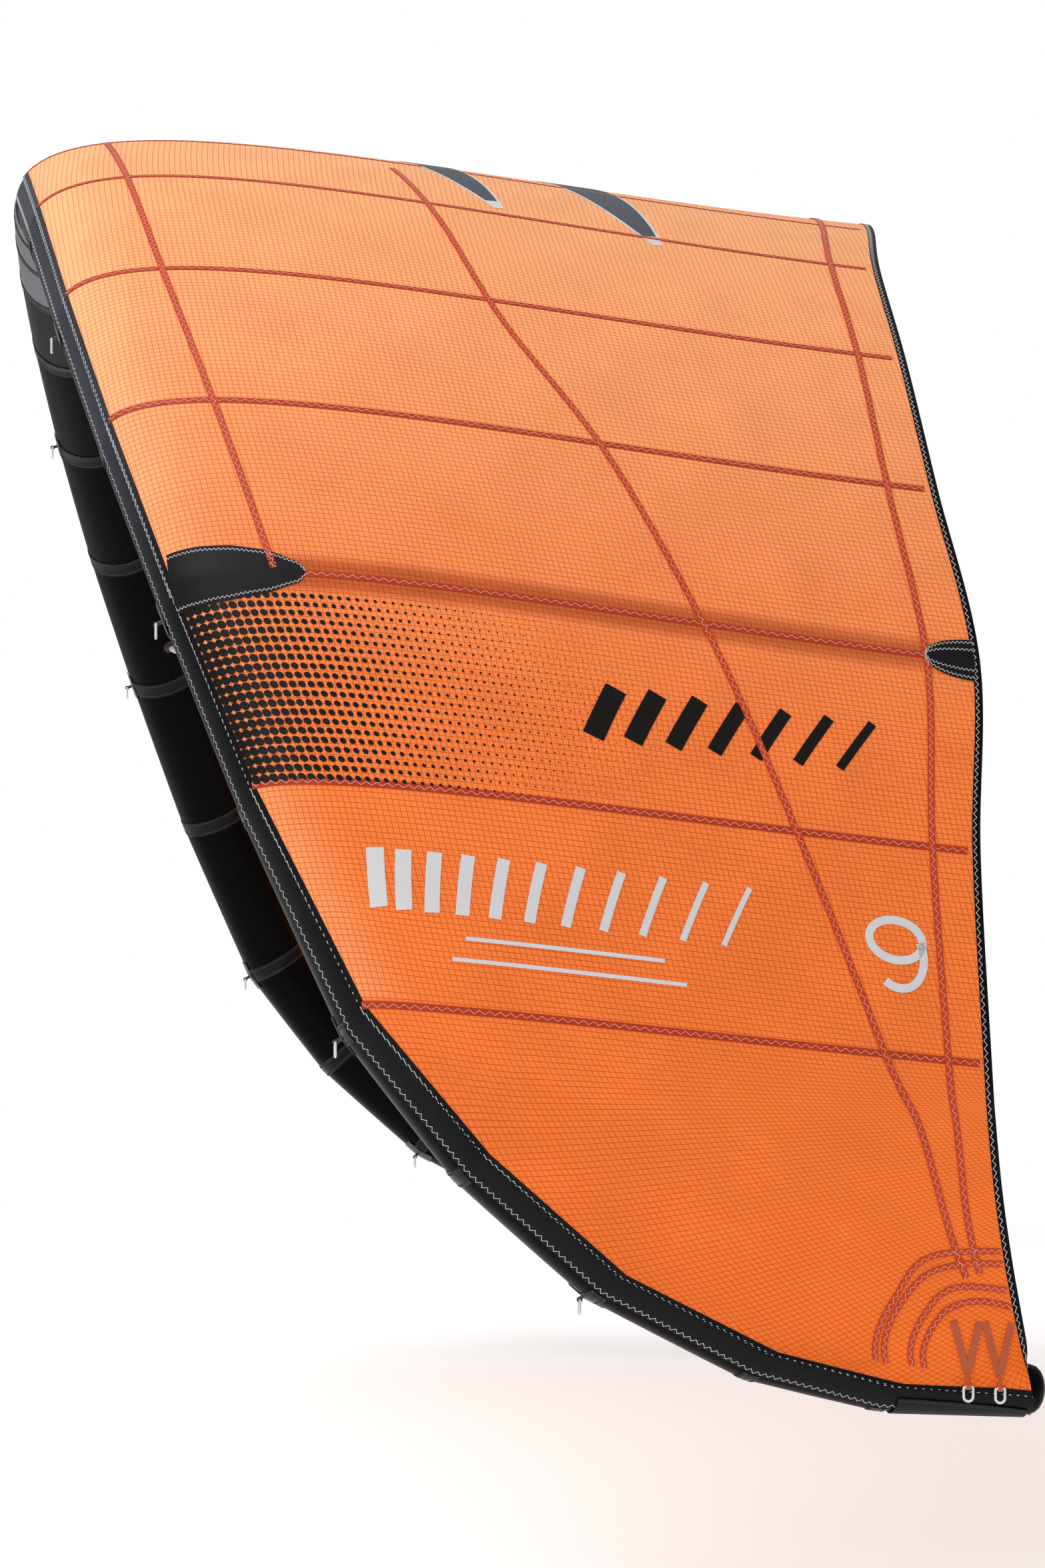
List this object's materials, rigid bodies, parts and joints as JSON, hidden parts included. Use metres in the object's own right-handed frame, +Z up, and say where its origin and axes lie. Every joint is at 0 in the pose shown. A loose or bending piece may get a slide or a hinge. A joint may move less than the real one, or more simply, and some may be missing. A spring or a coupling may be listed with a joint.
{
  "type": "kitesurf kite",
  "caption": "Arched inflatable kite: curved tube along the front edge, struts behind it, sewn cloth panels, folding-away valve parts and line loops.",
  "frame": {"origin": "middle of the leading edge, on the axis of its tube", "axes": "+X to the right half of the span, +Y from the leading edge to the trailing edge, +Z up, as the kite flies overhead"},
  "size_m": [4.014, 1.7994, 2.4256],
  "materials": {
    "canopy": "ripstop polyester, satin",
    "sleeve_grey": "woven polyester, matt",
    "sleeve_black": "woven polyester, satin",
    "bladder": "thin translucent film",
    "tape": "ripstop tape, matt",
    "strut_cloth": "woven polyester, satin",
    "patch": "coated cloth, satin",
    "webbing": "woven webbing, matt",
    "cord": "braided sleeve, matt",
    "hose": "soft translucent tube",
    "moulding": "moulded, satin",
    "clip": "moulded",
    "flap": "soft, matt"
  },
  "bodies": {
    "kite": {"air_hoses": "hose", "bridle_patches": "patch", "canopy_panel_1_left": "canopy", "canopy_panel_1_right": "canopy", "canopy_panel_2_left": "canopy", "canopy_panel_2_right": "canopy", "canopy_panel_3_left": "canopy", "canopy_panel_3_right": "canopy", "canopy_panel_4_left": "canopy", "canopy_panel_4_right": "canopy", "canopy_panel_5_left": "canopy", "canopy_panel_5_right": "canopy", "canopy_panel_6_left": "canopy", "canopy_panel_6_right": "canopy", "canopy_panel_7_left": "canopy", "canopy_panel_7_right": "canopy", "canopy_panel_middle": "canopy", "canopy_panel_tip_left": "canopy", "canopy_panel_tip_right": "canopy", "hose_collars": "moulding", "joint_bands": "tape", "leading_edge_bladder": "bladder", "leading_edge_sleeve_left": "sleeve_black", "leading_edge_sleeve_middle": "sleeve_grey", "leading_edge_sleeve_right": "sleeve_black", "leading_edge_sleeve_tip_left": "sleeve_black", "leading_edge_sleeve_tip_right": "sleeve_black", "leading_edge_tape_left": "tape", "leading_edge_tape_right": "tape", "pinch_clip_bodies": "clip", "strut_bladders": "bladder", "strut_nose_patches": "patch", "strut_sleeve_left": "strut_cloth", "strut_sleeve_middle": "strut_cloth", "strut_sleeve_right": "strut_cloth", "strut_tail_patches": "patch", "tip_pad_left": "patch", "tip_pad_right": "patch", "tip_webbing_left": "webbing", "tip_webbing_right": "webbing", "trailing_edge_tape_left": "tape", "trailing_edge_tape_right": "tape", "valve_base": "moulding"},
    "bridle_loop_4_right": {"bridle_loop_4_right": "cord"},
    "bridle_loop_6_right": {"bridle_loop_6_right": "cord"},
    "bridle_loop_8_right": {"bridle_loop_8_right": "cord"},
    "bridle_loop_10_right": {"bridle_loop_10_right": "cord"},
    "steering_loop_front_right": {"steering_loop_front_right": "cord"},
    "steering_loop_rear_right": {"steering_loop_rear_right": "cord"},
    "bridle_loop_4_left": {"bridle_loop_4_left": "cord"},
    "bridle_loop_6_left": {"bridle_loop_6_left": "cord"},
    "bridle_loop_8_left": {"bridle_loop_8_left": "cord"},
    "bridle_loop_10_left": {"bridle_loop_10_left": "cord"},
    "steering_loop_front_left": {"steering_loop_front_left": "cord"},
    "steering_loop_rear_left": {"steering_loop_rear_left": "cord"},
    "valve_cap": {"valve_cap": "moulding"},
    "valve_flap": {"valve_flap": "flap"},
    "pinch_clip_lever_middle": {"pinch_clip_lever_middle": "clip"},
    "pinch_clip_lever_right": {"pinch_clip_lever_right": "clip"},
    "pinch_clip_lever_left": {"pinch_clip_lever_left": "clip"}
  },
  "joints": [
    {"name": "bridle_swing_4_right", "type": "hinge", "parent": "kite", "child": "bridle_loop_4_right", "pos_m": [1.18201, -0.0171, -0.36381], "axis": [1, 0, 0], "range_deg": [-80, 5]},
    {"name": "bridle_swing_6_right", "type": "hinge", "parent": "kite", "child": "bridle_loop_6_right", "pos_m": [1.65502, 0.16446, -0.90827], "axis": [1, 0, 0], "range_deg": [-80, 5]},
    {"name": "bridle_swing_8_right", "type": "hinge", "parent": "kite", "child": "bridle_loop_8_right", "pos_m": [1.89861, 0.46245, -1.62546], "axis": [1, 0, 0], "range_deg": [-80, 5]},
    {"name": "bridle_swing_10_right", "type": "hinge", "parent": "kite", "child": "bridle_loop_10_right", "pos_m": [1.85388, 0.88284, -2.06799], "axis": [1, 0, 0], "range_deg": [-20, 5]},
    {"name": "steering_swing_front_right", "type": "hinge", "parent": "kite", "child": "steering_loop_front_right", "pos_m": [1.85695, 1.55576, -2.22431], "axis": [0, -1, 0], "range_deg": [0, 100]},
    {"name": "steering_swing_rear_right", "type": "hinge", "parent": "kite", "child": "steering_loop_rear_right", "pos_m": [1.85258, 1.61224, -2.22815], "axis": [0, -1, 0], "range_deg": [0, 100]},
    {"name": "bridle_swing_4_left", "type": "hinge", "parent": "kite", "child": "bridle_loop_4_left", "pos_m": [-1.18201, -0.0171, -0.36381], "axis": [1, 0, 0], "range_deg": [-80, 5]},
    {"name": "bridle_swing_6_left", "type": "hinge", "parent": "kite", "child": "bridle_loop_6_left", "pos_m": [-1.65502, 0.16446, -0.90827], "axis": [1, 0, 0], "range_deg": [-80, 5]},
    {"name": "bridle_swing_8_left", "type": "hinge", "parent": "kite", "child": "bridle_loop_8_left", "pos_m": [-1.89861, 0.46245, -1.62546], "axis": [1, 0, 0], "range_deg": [-80, 5]},
    {"name": "bridle_swing_10_left", "type": "hinge", "parent": "kite", "child": "bridle_loop_10_left", "pos_m": [-1.85388, 0.88284, -2.06799], "axis": [1, 0, 0], "range_deg": [-20, 5]},
    {"name": "steering_swing_front_left", "type": "hinge", "parent": "kite", "child": "steering_loop_front_left", "pos_m": [-1.85695, 1.55576, -2.22431], "axis": [0, 1, 0], "range_deg": [0, 100]},
    {"name": "steering_swing_rear_left", "type": "hinge", "parent": "kite", "child": "steering_loop_rear_left", "pos_m": [-1.85258, 1.61224, -2.22815], "axis": [0, 1, 0], "range_deg": [0, 100]},
    {"name": "valve_cap_hinge", "type": "hinge", "parent": "kite", "child": "valve_cap", "pos_m": [-0.115, 0.026, -0.10536], "axis": [1, 0, 0], "range_deg": [0, 150]},
    {"name": "valve_flap_hinge", "type": "hinge", "parent": "kite", "child": "valve_flap", "pos_m": [-0.115, 0.0114, -0.07561], "axis": [-1, 0, 0], "range_deg": [0, 60]},
    {"name": "pinch_clip_hinge_middle", "type": "hinge", "parent": "kite", "child": "pinch_clip_lever_middle", "pos_m": [0.09667, 0.15971, -0.04836], "axis": [-0.9691, -0.2466, 0], "range_deg": [0, 75]},
    {"name": "pinch_clip_hinge_right", "type": "hinge", "parent": "kite", "child": "pinch_clip_lever_right", "pos_m": [1.56451, 0.35595, -0.82963], "axis": [-0.7669, 0.6418, 0], "range_deg": [0, 75]},
    {"name": "pinch_clip_hinge_left", "type": "hinge", "parent": "kite", "child": "pinch_clip_lever_left", "pos_m": [-1.56451, 0.35595, -0.82963], "axis": [-0.7669, -0.6418, 0], "range_deg": [0, 75]}
  ]
}
